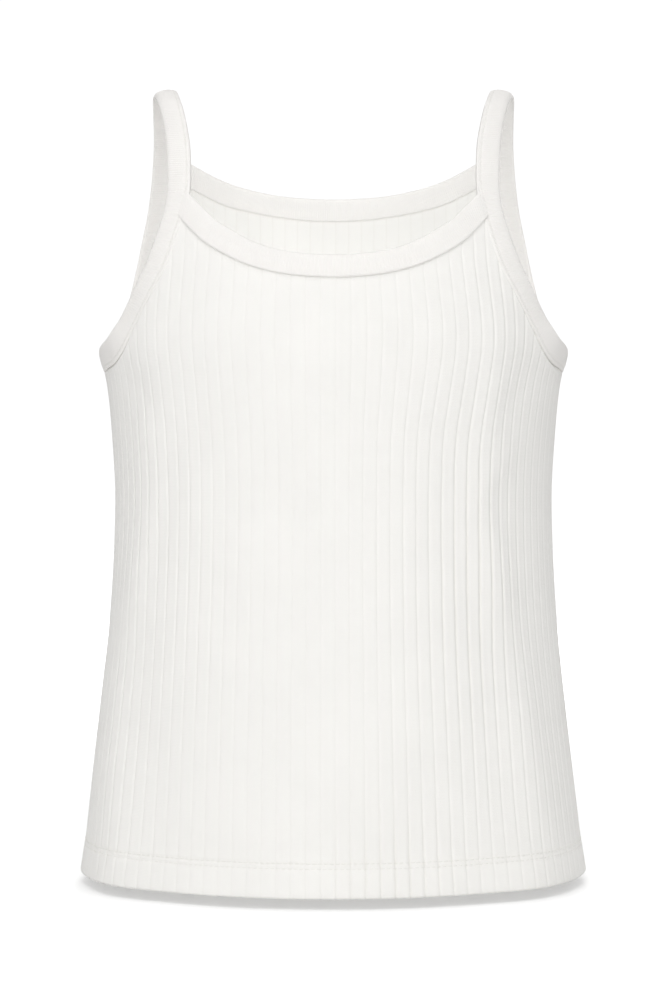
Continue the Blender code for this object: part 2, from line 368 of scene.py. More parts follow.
def make_piece(name, points, faces, material, uv=None, marks=None):
    """A smooth piece from points in millimetres, riding on the garment's body."""
    mesh = bpy.data.meshes.new(name)
    mesh.from_pydata((np.asarray(points) * MM).tolist(), [], faces)
    mesh.update()
    corners = np.zeros(len(mesh.loops), np.int32)
    mesh.loops.foreach_get("vertex_index", corners)
    if uv is not None:
        layer = mesh.uv_layers.new(name="cloth")
        layer.data.foreach_set("uv", (np.asarray(uv)[corners] * MM).ravel().astype(np.float32))
    for painted_shade_mark, values in (marks or {}).items():
        attribute = mesh.attributes.new(painted_shade_mark, "FLOAT", "POINT")
        attribute.data.foreach_set("value", np.asarray(values, np.float32).ravel())
    mesh.shade_smooth()
    mesh.materials.append(material)
    piece = bpy.data.objects.new(name, mesh)
    bpy.context.scene.collection.objects.link(piece)
    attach(piece, "root")
    return piece


def grid_faces(rows, columns, start=0, closed=False, flip=False):
    """Quads over a grid of points, wrapping round its columns if closed."""
    faces = []
    for row in range(rows - 1):
        for column in range(columns if closed else columns - 1):
            after = (column + 1) % columns
            low, high = start + row * columns, start + (row + 1) * columns
            quad = [low + column, low + after, high + after, high + column]
            faces.append(quad[::-1] if flip else quad)
    return faces


def border_faces(rows, columns, flip):
    """Quads that join the rims of two equal grids, the second after the first."""
    rim = list(range(columns))
    rim += [row * columns + columns - 1 for row in range(1, rows)]
    rim += [(rows - 1) * columns + column for column in range(columns - 2, -1, -1)]
    rim += [row * columns for row in range(rows - 2, 0, -1)]
    count = rows * columns
    faces = []
    for here, there in zip(rim, rim[1:] + rim[:1]):
        quad = [here, here + count, there + count, there]
        faces.append(quad[::-1] if flip else quad)
    return faces


def end_faces(rows, columns, flip):
    """The two end faces of a grid that wraps round its columns."""
    first = list(range(columns))
    last = list(range((rows - 1) * columns, rows * columns))
    return [first, last[::-1]] if flip else [first[::-1], last]


# --------------------------------------------------------------- materials

LEG_SLANT = 1.1         # courses that a loop's leg climbs across half a wale
LOOP_WAVE = 0.3         # share of a loop's height that comes and goes
FUZZ_SCALE = 2200.0
PATCH_SCALE = 38.0
FUZZ_HEIGHT = 0.35      # beside the loops' height of 1
BUMP_STRENGTH = 0.55
BUMP_DEPTH = 0.12       # in millimetres, as are the loops' sizes below
PLY_SCALE = 3500.0
PLY_DEPTH = 0.05


def add_node(tree, kind, inputs=None, **settings):
    """A node with its settings, its inputs set or linked by name or number."""
    node = tree.nodes.new(kind)
    for key, value in settings.items():
        setattr(node, key, value)
    for key, value in (inputs or {}).items():
        if isinstance(value, bpy.types.NodeSocket):
            tree.links.new(value, node.inputs[key])
        else:
            node.inputs[key].default_value = value
    return node


def math_node(tree, operation, first, second=0.0):
    node = add_node(tree, "ShaderNodeMath", {0: first, 1: second}, operation=operation)
    return node.outputs[0]


def knit_loops_group():
    """Height of plain knitting: two slanted legs to a wale, course on course."""
    group = bpy.data.node_groups.new("knit_loops", "ShaderNodeTree")
    group.interface.new_socket("UV", in_out="INPUT", socket_type="NodeSocketVector")
    group.interface.new_socket("Wale", in_out="INPUT", socket_type="NodeSocketFloat")
    group.interface.new_socket("Course", in_out="INPUT", socket_type="NodeSocketFloat")
    group.interface.new_socket("Height", in_out="OUTPUT", socket_type="NodeSocketFloat")
    given = group.nodes.new("NodeGroupInput")
    out = group.nodes.new("NodeGroupOutput")
    split = add_node(group, "ShaderNodeSeparateXYZ", {0: given.outputs["UV"]})
    wale = math_node(group, "DIVIDE", split.outputs["X"], given.outputs["Wale"])
    middle = math_node(group, "SUBTRACT", math_node(group, "FRACT", wale), 0.5)
    off_middle = math_node(group, "ABSOLUTE", middle)
    leg = math_node(group, "SINE", math_node(group, "MULTIPLY", off_middle, 2 * math.pi))
    course = math_node(group, "DIVIDE", split.outputs["Y"], given.outputs["Course"])
    slanted = math_node(group, "ADD", course, math_node(group, "MULTIPLY", off_middle, LEG_SLANT))
    wave = math_node(group, "SINE", math_node(group, "MULTIPLY", slanted, 2 * math.pi))
    wave = math_node(group, "MULTIPLY_ADD", wave, LOOP_WAVE)
    wave.node.inputs[2].default_value = 1.0 - LOOP_WAVE
    height = math_node(group, "MULTIPLY", leg, wave)
    group.links.new(height, out.inputs["Height"])
    return group


def cotton_group():
    """Fibre fuzz and slight unevenness of cotton, on object coordinates."""
    group = bpy.data.node_groups.new("cotton", "ShaderNodeTree")
    group.interface.new_socket("Fuzz", in_out="OUTPUT", socket_type="NodeSocketFloat")
    group.interface.new_socket("Tint", in_out="OUTPUT", socket_type="NodeSocketFloat")
    out = group.nodes.new("NodeGroupOutput")
    place = add_node(group, "ShaderNodeTexCoord").outputs["Object"]
    fuzz = add_node(group, "ShaderNodeTexNoise", {"Vector": place, "Scale": FUZZ_SCALE, "Detail": 3.0})
    patches = add_node(
        group, "ShaderNodeTexNoise", {"Vector": place, "Scale": PATCH_SCALE, "Detail": 4.0})
    group.links.new(fuzz.outputs["Fac"], out.inputs["Fuzz"])
    group.links.new(patches.outputs["Fac"], out.inputs["Tint"])
    return group


def cloth_material(name, colour, painted_shade, wale, course, loops, cotton):
    """Cotton knit: its colour, a painted shade mixed in by the groove mark, and the loops' size."""
    material = bpy.data.materials.new(name)
    material.use_nodes = True
    tree = material.node_tree
    shader = tree.nodes["Principled BSDF"]
    uv = add_node(tree, "ShaderNodeUVMap", uv_map="cloth").outputs["UV"]
    knit = add_node(tree, "ShaderNodeGroup", node_tree=loops)
    tree.links.new(uv, knit.inputs["UV"])
    knit.inputs["Wale"].default_value = wale * MM
    knit.inputs["Course"].default_value = course * MM
    fibre = add_node(tree, "ShaderNodeGroup", node_tree=cotton)
    # The groove mark is painted shade: in grooves, along seams, under bindings and on the inside
    groove = add_node(tree, "ShaderNodeAttribute", attribute_name="groove").outputs["Fac"]

    tint = add_node(tree, "ShaderNodeMapRange", {
        "Value": fibre.outputs["Tint"], "From Min": 0.3, "From Max": 0.7,
        "To Min": 0.985, "To Max": 1.01,
    }).outputs["Result"]
    plain = add_node(tree, "ShaderNodeVectorMath", {0: colour[:3], "Scale": tint}, operation="SCALE")
    mixed = add_node(tree, "ShaderNodeMix", {"Factor": groove}, data_type="RGBA")
    mixed_inputs = [socket for socket in mixed.inputs if socket.type == "RGBA"]
    tree.links.new(plain.outputs[0], mixed_inputs[0])
    mixed_inputs[1].default_value = painted_shade
    colour_out = [socket for socket in mixed.outputs if socket.type == "RGBA"][0]
    tree.links.new(colour_out, shader.inputs["Base Color"])

    rough = add_node(tree, "ShaderNodeMapRange", {
        "Value": fibre.outputs["Fuzz"], "To Min": 0.82, "To Max": 0.98,
    }).outputs["Result"]
    tree.links.new(rough, shader.inputs["Roughness"])
    fuzz_height = math_node(tree, "MULTIPLY", fibre.outputs["Fuzz"], FUZZ_HEIGHT)
    height = math_node(tree, "ADD", knit.outputs["Height"], fuzz_height)
    bump = add_node(tree, "ShaderNodeBump", {
        "Height": height, "Strength": BUMP_STRENGTH, "Distance": BUMP_DEPTH * MM,
    })
    tree.links.new(bump.outputs["Normal"], shader.inputs["Normal"])
    shader.inputs["Specular IOR Level"].default_value = 0.25
    shader.inputs["Sheen Weight"].default_value = 0.25
    shader.inputs["Sheen Roughness"].default_value = 0.5
    return material


def thread_material():
    """Twisted cotton thread, a little shinier than the cloth."""
    material = bpy.data.materials.new("sewing_thread")
    material.use_nodes = True
    tree = material.node_tree
    shader = tree.nodes["Principled BSDF"]
    place = add_node(tree, "ShaderNodeTexCoord").outputs["Object"]
    ply = add_node(tree, "ShaderNodeTexNoise", {"Vector": place, "Scale": PLY_SCALE, "Detail": 2.0})
    tone = add_node(tree, "ShaderNodeValToRGB", {"Fac": ply.outputs["Fac"]})
    tone.color_ramp.elements[0].color = (0.84, 0.83, 0.79, 1)
    tone.color_ramp.elements[1].color = (0.94, 0.93, 0.90, 1)
    tree.links.new(tone.outputs["Color"], shader.inputs["Base Color"])
    bump = add_node(tree, "ShaderNodeBump", {
        "Height": ply.outputs["Fac"], "Strength": 0.4, "Distance": PLY_DEPTH * MM,
    })
    tree.links.new(bump.outputs["Normal"], shader.inputs["Normal"])
    shader.inputs["Roughness"].default_value = 0.6
    return material


LOOPS = knit_loops_group()
COTTON = cotton_group()
# Each knit's second colour is its painted shade, for grooves and seams
RIB_KNIT = cloth_material(
    "rib_knit", (0.955, 0.944, 0.914, 1), (0.885, 0.869, 0.832, 1),
    wale=0.90, course=0.70, loops=LOOPS, cotton=COTTON)
BAND_KNIT = cloth_material(
    "band_knit", (0.960, 0.940, 0.913, 1), (0.86, 0.845, 0.806, 1),
    wale=0.62, course=0.60, loops=LOOPS, cotton=COTTON)
THREAD = thread_material()


# --------------------------------------------------------- panels of cloth

# Soft folds of the worn cloth, on the face of a panel: a line from its top to
# its bottom end, how wide it is and how far it rises (or, below 0, sinks)
Fold = namedtuple("Fold", "side top_x top_height bottom_x bottom_height width rise")
FOLD_OVERRUN = 0.3      # share of its length by which a fold fades past its ends
FOLDS = [
    Fold("front", 80.0, -120.0, 76.0, -204.0, 11.0, 2.0),
    Fold("front", 71.0, -208.0, 85.5, -286.0, 9.0, 2.8),
    Fold("front", 90.0, -288.0, 100.0, -360.0, 11.0, 3.0),
    Fold("front", 100.0, -352.0, 108.0, -450.0, 16.0, 4.0),
    Fold("front", 87.0, -376.0, 90.0, -450.0, 13.0, 1.5),
    Fold("front", 92.0, -180.0, 72.0, -206.0, 5.0, 0.5),
    Fold("front", 68.0, -206.0, 76.0, -250.0, 5.0, -0.35),
    Fold("front", -88.0, -120.0, -92.0, -212.0, 11.0, 1.6),
    Fold("front", -91.0, -214.0, -107.0, -298.0, 9.0, 2.2),
    Fold("front", -107.0, -296.0, -111.0, -366.0, 11.0, 2.6),
    Fold("front", -108.0, -352.0, -112.0, -450.0, 14.0, 3.6),
    Fold("front", -96.0, -376.0, -98.0, -450.0, 13.0, 1.2),
    Fold("front", -80.0, -206.0, -92.0, -256.0, 5.0, -0.6),
    Fold("front", -34.0, -176.0, -53.0, -181.0, 3.0, -0.25),
    Fold("front", -52.0, -128.0, -60.0, -172.0, 11.0, 0.8),
    Fold("front", 54.0, -122.0, 62.0, -170.0, 11.0, 0.8),
    Fold("front", 96.0, -150.0, 78.0, -176.0, 7.0, -0.8),
    Fold("front", -97.0, -150.0, -84.0, -178.0, 7.0, -0.7),
    Fold("back", 78.0, -198.0, 60.0, -232.0, 6.0, -1.1),
    Fold("back", -84.0, -190.0, -58.0, -222.0, 6.0, -1.2),
    Fold("back", 30.0, -214.0, -26.0, -226.0, 7.0, -0.9),
    Fold("back", 74.0, -250.0, 88.0, -330.0, 9.0, 1.0),
    Fold("back", -70.0, -262.0, -84.0, -350.0, 9.0, 1.0),
    Fold("back", 8.0, -300.0, 4.0, -380.0, 12.0, 0.8),
    Fold("back", 98.0, -140.0, 84.0, -172.0, 7.0, -0.8),
    Fold("back", -99.0, -142.0, -88.0, -168.0, 7.0, -0.7),
]


def fold_relief(side, points):
    """How far the folds lift the face at each point."""
    x, height = points[..., 0], points[..., 2]
    relief = np.zeros(x.shape)
    for fold in FOLDS:
        if fold.side != side:
            continue
        start = np.array([fold.top_x, fold.top_height])
        run = np.array([fold.bottom_x, fold.bottom_height]) - start
        length = np.linalg.norm(run)
        run /= length
        away = x - start[0], height - start[1]
        along = (away[0] * run[0] + away[1] * run[1]) / length
        off = away[0] * run[1] - away[1] * run[0]
        inside = np.clip(along, -FOLD_OVERRUN, 1 + FOLD_OVERRUN)
        fade = np.cos(np.pi / (1 + 2 * FOLD_OVERRUN) * (inside - 0.5)).clip(0, 1) ** 1.5
        relief += fold.rise * fade * np.exp(-(off / fold.width) ** 2)
    return relief


def rib_columns():
    """Places across a panel, counted in ribs from the middle."""
    places = [-RIBS_TO_SIDE, RIBS_TO_SIDE]
    for edge in SIDE_EDGE_PLACES:
        places += [edge - RIBS_TO_SIDE, RIBS_TO_SIDE - edge]
    offsets = [place for place, _, _ in RIB_PROFILE]
    offsets += [-place for place in offsets[1:-1]]
    for rib in range(-RIBS_TO_SIDE - 1, RIBS_TO_SIDE + 2):
        for offset in offsets:
            place = rib + RIB_SHIFT + offset
            if abs(place) < RIBS_TO_SIDE - SIDE_EDGE_PLACES[-1] - 0.04:
                places.append(place)
    return np.array(sorted(places))


# How far the ribs stand off their even places, outwards on the wearer's left
# and right, height by height: they bow out at the chest and in at the waist
Bow = namedtuple("Bow", "height left right")
BOWS = [
    Bow(HEM, 0.0, 0.0),
    Bow(-330.0, -1.5, 0.0),
    Bow(-285.0, -2.6, -0.4),
    Bow(-240.0, -3.0, -1.0),
    Bow(-205.0, -2.9, -1.2),
    Bow(-181.0, -2.2, -0.8),
    Bow(-162.0, 0.2, 0.2),
    Bow(-149.0, 2.0, 1.0),
    Bow(-136.0, 3.3, 1.7),
    Bow(-124.0, 3.3, 1.7),
    Bow(-108.0, 1.8, 0.9),
    Bow(-90.0, 0.2, 0.0),
    Bow(-20.0, 0.0, 0.0),
]
BOW_FADE_RIBS = 7       # the bow grows over so many ribs, from the middle and the side


def rib_bow(ribs, level):
    """How far the ribs stand off their even places at one level."""
    heights = [bow.height for bow in BOWS]
    left = smooth_through(heights, [bow.left for bow in BOWS], level)
    right = smooth_through(heights, [bow.right for bow in BOWS], level)
    off = np.abs(ribs)
    share = np.clip(off / BOW_FADE_RIBS, 0, 1) * np.clip((RIBS_TO_SIDE - off) / BOW_FADE_RIBS, 0, 1)
    return np.where(ribs > 0, left, right) * share


def rib_turns(side, ribs, levels):
    """The turn of every rib place at every level, and its length of cloth."""
    turns = np.linspace(0, math.pi / 2, 361)
    found, reaches = [], []
    for level in levels:
        points = face_point(side, turns, np.full(turns.shape, level))
        steps = np.linalg.norm(np.diff(points, axis=0), axis=1)
        lengths = np.concatenate([[0.0], np.cumsum(steps)])
        spare = lengths[-1] - RIBS_TO_SIDE * RIB_PITCH
        reach = np.abs(ribs) * RIB_PITCH + spare * (np.abs(ribs) / RIBS_TO_SIDE) ** 2
        if side == "front":
            reach = reach + rib_bow(ribs, level)
        found.append(np.interp(reach, lengths, turns) * np.sign(ribs))
        reaches.append(reach * np.sign(ribs))
    return np.array(found), np.array(reaches)


# Where the ribs close up and their grooves deepen: the middle of the place, how
# far it reaches across and up, and how much deeper the grooves are. Between
# these places the cloth is stretched and the grooves are shallow
Gather = namedtuple("Gather", "side x height across up depth")
FLAT_GROOVE = 0.42
GATHERS = [
    Gather("front", 69.0, -252.0, 17.0, 72.0, 2.00),
    Gather("front", 38.0, -262.0, 20.0, 88.0, 0.55),
    Gather("front", 104.0, -345.0, 22.0, 60.0, 0.35),
    Gather("front", 30.0, -392.0, 30.0, 30.0, 1.30),
    Gather("front", 96.0, -104.0, 26.0, 40.0, 0.75),
    Gather("front", -94.0, -210.0, 26.0, 46.0, 0.40),
    Gather("front", -68.0, -265.0, 20.0, 50.0, 0.35),
    Gather("front", -108.0, -108.0, 20.0, 30.0, 0.30),
    Gather("front", -112.0, -345.0, 24.0, 66.0, 0.30),
    Gather("back", 78.0, -222.0, 34.0, 66.0, 0.80),
    Gather("back", -82.0, -216.0, 34.0, 62.0, 0.85),
    Gather("back", 20.0, -240.0, 45.0, 45.0, 0.30),
    Gather("back", -100.0, -350.0, 30.0, 60.0, 0.45),
    Gather("back", 96.0, -340.0, 30.0, 60.0, 0.50),
]


def groove_sharpness(side, points):
    """How deep the grooves are at each point, as a share of RIB_PROFILE."""
    x, height = points[..., 0], points[..., 2]
    depth = np.full(x.shape, FLAT_GROOVE)
    for gather in GATHERS:
        if gather.side == side:
            across = (x - gather.x) / gather.across
            up = (height - gather.height) / gather.up
            depth += gather.depth * np.exp(-across ** 2 - up ** 2)
    return depth


def top_height(side, neck):
    """A function from turn to the height of the panel's top edge."""
    samples = np.linspace(0, 1, 900)
    neckline = neck.at(neck.length * (0.5 + 0.5 * samples), TUCK / BAND_CUT)
    neck_turn = turn_at(neckline[:, 0], neckline[:, 2])
    along = strap.length * 0.42 * samples
    if side == "back":
        along = strap.length - along
    armhole = strap.at(along, TUCK / BAND_CUT)
    armhole_turn = turn_at(armhole[:, 0], armhole[:, 2])
    armhole_turn[0] = math.pi / 2
    last = int(np.argmin(armhole_turn))
    armhole_turn, armhole = armhole_turn[:last + 1][::-1], armhole[:last + 1][::-1]

    def height(turn):
        turn = np.abs(turn)
        by_neck = np.interp(turn, neck_turn, neckline[:, 2], right=1e3)
        by_armhole = np.interp(turn, armhole_turn, armhole[:, 2], left=1e3)
        return np.minimum(by_neck, by_armhole)

    return height


def column_tops(turns, levels, top):
    """The height where each rib place meets the panel's top edge."""
    heights = []
    for column in range(turns.shape[1]):
        over = levels - top(turns[:, column])
        first = int(np.argmax(over > 0))
        share = over[first - 1] / (over[first - 1] - over[first])
        heights.append(levels[first - 1] + share * (levels[first] - levels[first - 1]))
    return np.array(heights)


def panel_rows(tops):
    """Heights of a panel's rows of points, from the hem to its top edge."""
    low = HEM + np.array(HEM_ROWS)
    rows = [np.full(tops.shape, height) for height in low]
    for share in np.linspace(0, 1, PANEL_ROWS + 2)[1:-1]:
        rows.append(low[-1] + (tops - TOP_ROWS[0] - low[-1]) * share)
    for below in TOP_ROWS:
        rows.append(tops - below)
    return np.array(rows)


def panel_piece(name, side, neck):
    """A panel's cloth: its ribs, folds, turned-up hem and sewn edges."""
    levels = np.arange(HEM, TOP_LEVEL, LEVEL_STEP)
    ribs = rib_columns()
    turns, reaches = rib_turns(side, ribs, levels)
    tops = column_tops(turns, levels, top_height(side, neck))
    height = panel_rows(tops)
    turn, reach = np.zeros(height.shape), np.zeros(height.shape)
    for column in range(len(ribs)):
        turn[:, column] = np.interp(height[:, column], levels, turns[:, column])
        reach[:, column] = np.interp(height[:, column], levels, reaches[:, column])
    face, normal = face_point(side, turn, height), face_normal(side, turn, height)
    folds = fold_relief(side, face)

    # ribs, and the side seam
    pitch = np.gradient(reach, axis=1) / np.gradient(ribs)
    from_groove = np.abs((ribs - RIB_SHIFT) - np.round(ribs - RIB_SHIFT))
    places, heights, depths = np.array(RIB_PROFILE).T
    sharpness = groove_sharpness(side, face)
    rib_height = np.interp(from_groove, places, heights) * sharpness
    groove = np.interp(from_groove, places, depths) * sharpness
    to_side = (RIBS_TO_SIDE - np.abs(ribs)) * pitch
    side_dip = -SIDE_DIP * np.exp(-(to_side / SIDE_DIP_REACH) ** 2)

    # the turned-up hem
    above_hem = height - HEM
    furrow = sum(
        np.exp(-((above_hem - row) / HEM_FURROW_REACH) ** 2) for row in HEM_STITCH_ROWS)
    hem_swell = HEM_SWELL * np.clip((HEM_RAW_EDGE + 1 - above_hem) / HEM_SWELL_FADE, 0, 1)
    hem_swell = hem_swell + HEM_FLARE * np.clip(1 - above_hem / HEM_STITCH_ROWS[0], 0, 1)
    radius = HEM_WALL / 2
    inset = np.maximum(radius - above_hem, 0) * 0.97
    rounding = radius - np.sqrt(radius ** 2 - inset ** 2)
    wall = np.where(above_hem < HEM_RAW_EDGE, HEM_WALL, WALL)

    # the seams with the bands
    below_seam = np.maximum(tops - height - TUCK, 0)
    top_swell = TOP_SWELL * np.exp(-(below_seam / TOP_SWELL_REACH) ** 2)
    beside_band = np.exp(-(below_seam / BESIDE_BAND_REACH) ** 2)
    out_to_side = np.abs(face[..., 0]) - UNDERARM_DRAW_FROM
    drawn_in = np.clip(out_to_side / UNDERARM_DRAW_REACH, 0, 1) * beside_band

    lift = folds + rib_height + side_dip + top_swell + hem_swell
    lift = lift - HEM_FURROW * furrow - rounding - UNDERARM_DRAW * drawn_in
    under = folds + hem_swell - wall + RIB_UNDERSIDE * groove + rounding
    under = under + HEM_FURROW_INSIDE * furrow + SEAM_UNDERSIDE * beside_band
    under = under - UNDERARM_DRAW * drawn_in
    outer = face + normal * lift[..., None]
    inner = face + normal * under[..., None]

    rows_count, columns_count = height.shape
    points = np.concatenate([outer.reshape(-1, 3), inner.reshape(-1, 3)])
    flip = side == "back"
    faces = grid_faces(rows_count, columns_count, flip=flip)
    faces += grid_faces(rows_count, columns_count, start=outer[..., 0].size, flip=not flip)
    faces += border_faces(rows_count, columns_count, flip=not flip)
    uv = np.stack([reach, height], axis=-1).reshape(-1, 2)
    # The painted shade mark: shade in the grooves, along the side seam and under a binding; on the
    # inside also all over, and along the seams beside the bands
    painted_shade_mark = groove + SIDE_SHADE * np.exp(-(to_side / SIDE_SHADE_REACH) ** 2)
    painted_shade_mark = painted_shade_mark + UNDERARM_SHADE * drawn_in
    inner_painted_shade = INSIDE_PAINTED_SHADE + INSIDE_GROOVE_SHADE * painted_shade_mark + INSIDE_SEAM_SHADE * beside_band
    inner_painted_shade = np.clip(inner_painted_shade, 0, 1.5).ravel()
    painted_shade_mark = np.clip(painted_shade_mark, 0, 1).ravel()
    return make_piece(
        name, points, faces, RIB_KNIT,
        uv=np.concatenate([uv, uv]), marks={"groove": np.concatenate([painted_shade_mark, inner_painted_shade])})


# ------------------------------------------------------------ bands of cloth

def shoulder_roll(along, across):
    """How far the strap's edges roll down on top of the shoulder."""
    on_shoulder = np.exp(-((along - strap.length * STRAP_TOP) / STRAP_ROLL_REACH) ** 2)
    return STRAP_ROLL * on_shoulder * np.abs(2 * across - 1) ** 3


def band_piece(name, band, mirror, sewn_ends):
    """A band's cloth, with fine crosswise ribs, a seam ridge and a soft edge."""
    count = int(band.length / BAND_RIB_PITCH) * SAMPLES_PER_BAND_RIB
    along = np.linspace(0, band.length, count + 1)
    outline = np.array(BAND_OUTLINE)
    across = outline[:, 0] / BAND_CUT
    phase = 2 * np.pi * np.arange(count + 1) / SAMPLES_PER_BAND_RIB
    ribbed = np.clip(np.minimum(across, 1 - across) * 12, 0, 1) * np.sign(outline[:, 1])
    lift = outline[None, :, 1] + BAND_RIB_HEIGHT * np.cos(phase)[:, None] * ribbed
    pucker = np.sin(along / 5.3) * np.sin(along / 1.9 + 1.0) + 0.6 * np.sin(along / 11.0)
    near_stitch = np.exp(-((outline[:, 0] - 3.4) / 1.8) ** 2) * (outline[:, 1] > 0)
    lift = lift + BAND_PUCKER * pucker[:, None] * near_stitch
    ends = np.minimum(along, band.length - along)
    if sewn_ends == "side":
        lift = lift - BAND_END_DIP * np.exp(-(ends / 0.7) ** 2)[:, None] * (outline[:, 1] > 0)
        lift = lift - shoulder_roll(along[:, None], across[None, :])
    else:
        thinner = BAND_END_DIP * np.exp(-(ends / 2.5) ** 2)[:, None]
        lift = lift - thinner * np.where(outline[:, 1] > 0, 1.0, -1.0)
    points = band.at(along[:, None], across[None, :])
    points = points + band.normal(along)[:, None, :] * lift[..., None]
    points[..., 0] *= mirror
    faces = grid_faces(*lift.shape, closed=True, flip=mirror < 0)
    faces += end_faces(*lift.shape, flip=mirror < 0)
    uv = np.stack(np.broadcast_arrays(along[:, None], outline[None, :, 0]), axis=-1)
    # Painted shade in the topstitch's furrow and in the ditch at the seam edge
    furrow = np.exp(-((outline[:, 0] - BAND_TOPSTITCH) / 0.35) ** 2) * (outline[:, 1] > 0)
    ditch = (outline[:, 0] < 0.3) * (outline[:, 1] < 0.5) * (outline[:, 1] > -1.2)
    painted_shade_mark = np.broadcast_to(0.5 * furrow + 0.1 * ditch, lift.shape)
    return make_piece(
        name, points.reshape(-1, 3), faces, BAND_KNIT,
        uv=uv.reshape(-1, 2), marks={"groove": painted_shade_mark})


# ---------------------------------------------------------------- stitches

def stitch_template():
    """One stitch along X: a thread that rises from the cloth and dives back."""
    clear_selection()
    bpy.ops.mesh.primitive_cylinder_add(
        vertices=6, radius=THREAD_RADIUS, depth=STITCH_LENGTH, end_fill_type="TRIFAN",
        rotation=(0, math.pi / 2, 0))
    model = bpy.context.active_object
    bpy.ops.object.transform_apply(location=False, rotation=True, scale=False)
    bpy.ops.object.mode_set(mode="EDIT")
    for cut in (-0.36, -0.18, 0.0, 0.18, 0.36):
        bpy.ops.mesh.select_all(action="SELECT")
        bpy.ops.mesh.bisect(plane_co=(cut * STITCH_LENGTH, 0, 0), plane_no=(1, 0, 0))
    bpy.ops.object.mode_set(mode="OBJECT")
    mesh = model.data
    points = np.array([vertex.co[:] for vertex in mesh.vertices])
    faces = [list(face.vertices) for face in mesh.polygons]
    bpy.data.objects.remove(model, do_unlink=True)
    reach = np.abs(points[:, 0]) / (STITCH_LENGTH / 2)
    points[:, 1:] *= (1 - 0.35 * reach ** 3)[:, None]
    points[:, 2] -= 0.42 * reach ** 2.5
    return points, faces


STITCH_POINTS, STITCH_FACES = stitch_template()


def stitch_row(name, centres, ways, normals):
    """Stitches laid end to end, joined into one piece."""
    side = np.cross(normals, ways)
    frames = np.stack([ways, side, normals], axis=1)
    points = centres[:, None, :] + np.einsum("vk,nkx->nvx", STITCH_POINTS, frames)
    faces = []
    for copy in range(len(centres)):
        start = copy * len(STITCH_POINTS)
        faces += [[start + index for index in face] for face in STITCH_FACES]
    return make_piece(name, points.reshape(-1, 3), faces, THREAD)


def band_stitches(name, band, mirror, margin):
    """A band's topstitch, lying in the furrow beside its seam edge."""
    count = int((band.length - 2 * margin) / STITCH_PITCH)
    along = margin + STITCH_PITCH * (np.arange(count) + 0.5)
    normals, ways = band.normal(along), band.way(along)
    across = BAND_TOPSTITCH / BAND_CUT
    lift = np.full(count, TOPSTITCH_LIFT)
    if band is strap:
        lift = lift - shoulder_roll(along, across)
    centres = band.at(along, across) + normals * lift[:, None]
    flip = np.array([mirror, 1.0, 1.0])
    return stitch_row(name, centres * flip, ways * flip, normals * flip)


def hem_stitches(name, side):
    """The hem's two rows of coverstitch, from side seam to side seam."""
    centres, ways, normals = [], [], []
    for number, row in enumerate(HEM_STITCH_ROWS):
        turns = np.linspace(-math.pi / 2, math.pi / 2, 2001)
        path = face_point(side, turns, np.full(turns.shape, HEM + row))
        steps = np.linalg.norm(np.diff(path, axis=0), axis=1)
        lengths = np.concatenate([[0.0], np.cumsum(steps)])
        count = int((lengths[-1] - 3) / STITCH_PITCH)
        start = (lengths[-1] - count * STITCH_PITCH) / 2
        reach = start + STITCH_PITCH * (np.arange(count) + 0.5 + 0.25 * number)
        turn = np.interp(reach, lengths, turns)
        height = np.full(turn.shape, HEM + row)
        normal = face_normal(side, turn, height)
        face = face_point(side, turn, height)
        ahead = face_point(side, turn + 0.003, height)
        ways.append(unit(ahead - face))
        normals.append(normal)
        lift = fold_relief(side, face) + HEM_SWELL - HEM_FURROW + HEM_STITCH_LIFT
        centres.append(face + normal * lift[:, None])
    return stitch_row(name, *(np.concatenate(parts) for parts in (centres, ways, normals)))


# -------------------------------------------------------------- side seams

SEAM_TOP = -143.5       # the allowance ends inside the binding
SEAM_THINNING = 4.0     # over the length where it thins out
SEAM_ABOVE_FOLD = 3.0   # it starts above the hem's fold
# Outline across it: place behind the side, and height on the inside of the cloth
SEAM_OUTLINE = [
    (-0.8, -1.0), (-0.8, -2.1), (0.5, -2.5), (3.0, -2.6),
    (5.6, -2.5), (6.4, -2.1), (6.4, -1.5), (3.0, -1.1),
]


def side_seam_piece(name, mirror):
    """The overlocked allowance inside a side seam, pressed to the back."""
    heights = np.arange(HEM + SEAM_ABOVE_FOLD, SEAM_TOP, 1.2)
    rings = []
    for height in heights:
        thick = 1.2 if height - HEM < HEM_RAW_EDGE else 0.0
        depth = float(body_size("back_depth", height))
        wave = 0.12 * math.sin(height / 1.1)
        caught = min((SEAM_TOP - height) / SEAM_THINNING, 1.0)
        ring = []
        for reach, lift in SEAM_OUTLINE:
            edge = wave if reach > 6 else 0.0
            turn = np.array(math.pi / 2 - (reach + edge) / depth)
            level = np.array(height)
            normal = face_normal("back", turn, level)
            lift = (lift + 1.0) * caught - 1.0 - thick
            ring.append(face_point("back", turn, level) + normal * lift)
        rings.append(ring)
    points = np.array(rings)
    points[..., 0] *= mirror
    grid = points.shape[:2]
    faces = grid_faces(*grid, closed=True, flip=mirror < 0)
    faces += end_faces(*grid, flip=mirror < 0)
    places = np.array(SEAM_OUTLINE)[:, 0]
    uv = np.stack(np.broadcast_arrays(heights[:, None], places[None, :]), axis=-1)
    return make_piece(
        name, points.reshape(-1, 3), faces, BAND_KNIT,
        uv=uv.reshape(-1, 2), marks={"groove": np.zeros(grid)})


# ---------------------------------------------------------------- garment

def outward(piece):
    """Turns a closed piece's faces outwards if they point in."""
    mesh = piece.data
    mesh.calc_loop_triangles()
    points = np.array([vertex.co[:] for vertex in mesh.vertices])
    triangles = np.array([list(tri.vertices) for tri in mesh.loop_triangles])
    a, b, c = (points[triangles[:, corner]] for corner in range(3))
    if (a * np.cross(b, c)).sum() < 0:
        mesh.flip_normals()


